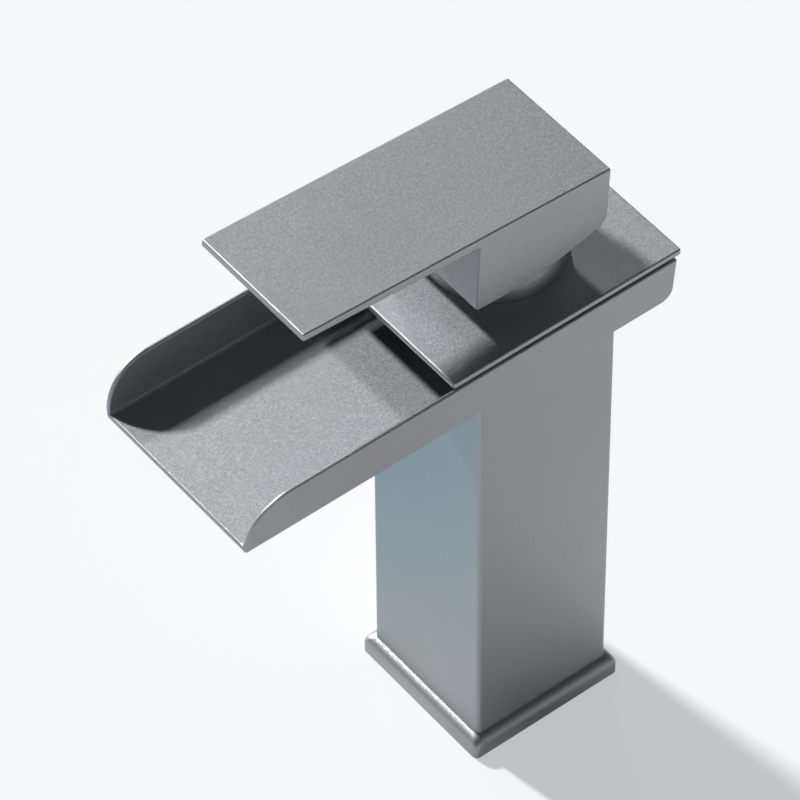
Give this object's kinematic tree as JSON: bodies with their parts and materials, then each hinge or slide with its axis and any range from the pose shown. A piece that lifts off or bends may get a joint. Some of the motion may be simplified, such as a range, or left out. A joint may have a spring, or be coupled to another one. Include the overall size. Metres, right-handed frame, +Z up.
{
  "type": "waterfall basin faucet",
  "caption": "Deck-mounted basin faucet: square pillar, wide open waterfall spout tray, cover plate and a flat lever that lifts for flow and swings for temperature.",
  "frame": {"origin": "on the pillar's upright axis, at the top of the deck that the faucet stands on", "axes": "+Z up along the pillar, -Y the way the water leaves, +X to the cold side"},
  "size_m": [0.062, 0.1419, 0.2716],
  "materials": {
    "gunmetal": "satin metallic grey",
    "brass": "machined",
    "steel": "machined",
    "rubber": "matt",
    "plastic": "moulded",
    "ceramic": "lapped ceramic",
    "index": "gloss"
  },
  "bodies": {
    "root": {"pillar": "gunmetal", "spout_tray": "gunmetal", "tray_gasket": "rubber", "tray_screws": "steel", "cover_plate": "gunmetal", "base_flange": "gunmetal", "base_gasket": "rubber", "cold_inlet_bushing": "brass", "hot_inlet_bushing": "brass", "dome_collar": "gunmetal", "cartridge_nut": "brass", "cartridge_housing": "plastic", "cartridge_base": "plastic", "inlet_seals": "rubber", "disc_seals": "rubber", "fixed_disc": "ceramic", "mounting_stud": "steel"},
    "rotor": {"stem_rotor": "plastic", "stem_pin": "steel"},
    "lever": {"valve_stem": "brass", "lever_handle": "gunmetal", "handle_set_screw": "steel", "index_plug": "index"},
    "carrier": {"disc_carrier": "plastic", "moving_disc": "ceramic"},
    "clamp": {"rubber_washer": "rubber", "clamp_washer": "steel", "clamp_nut": "steel"}
  },
  "joints": [
    {"name": "temperature_swing", "type": "hinge", "parent": "root", "child": "rotor", "pos_m": [0, 0, 0.1715], "axis": [0, 0, 1], "range_deg": [-50, 50]},
    {"name": "lever_lift", "type": "hinge", "parent": "rotor", "child": "lever", "pos_m": [0, 0, 0.1715], "axis": [-1, 0, 0], "range_deg": [0, 25]},
    {"name": "disc_slide", "type": "slide", "parent": "rotor", "child": "carrier", "axis": [0, -1, 0], "range_m": [0, 0.00402]},
    {"name": "clamp_travel", "type": "slide", "parent": "root", "child": "clamp", "axis": [0, 0, 1], "range_m": [-0.018, 0.018]}
  ],
  "couplings": [
    {"joint": "disc_slide", "follows": "lever_lift", "m_per_rad": 0.0092015}
  ]
}
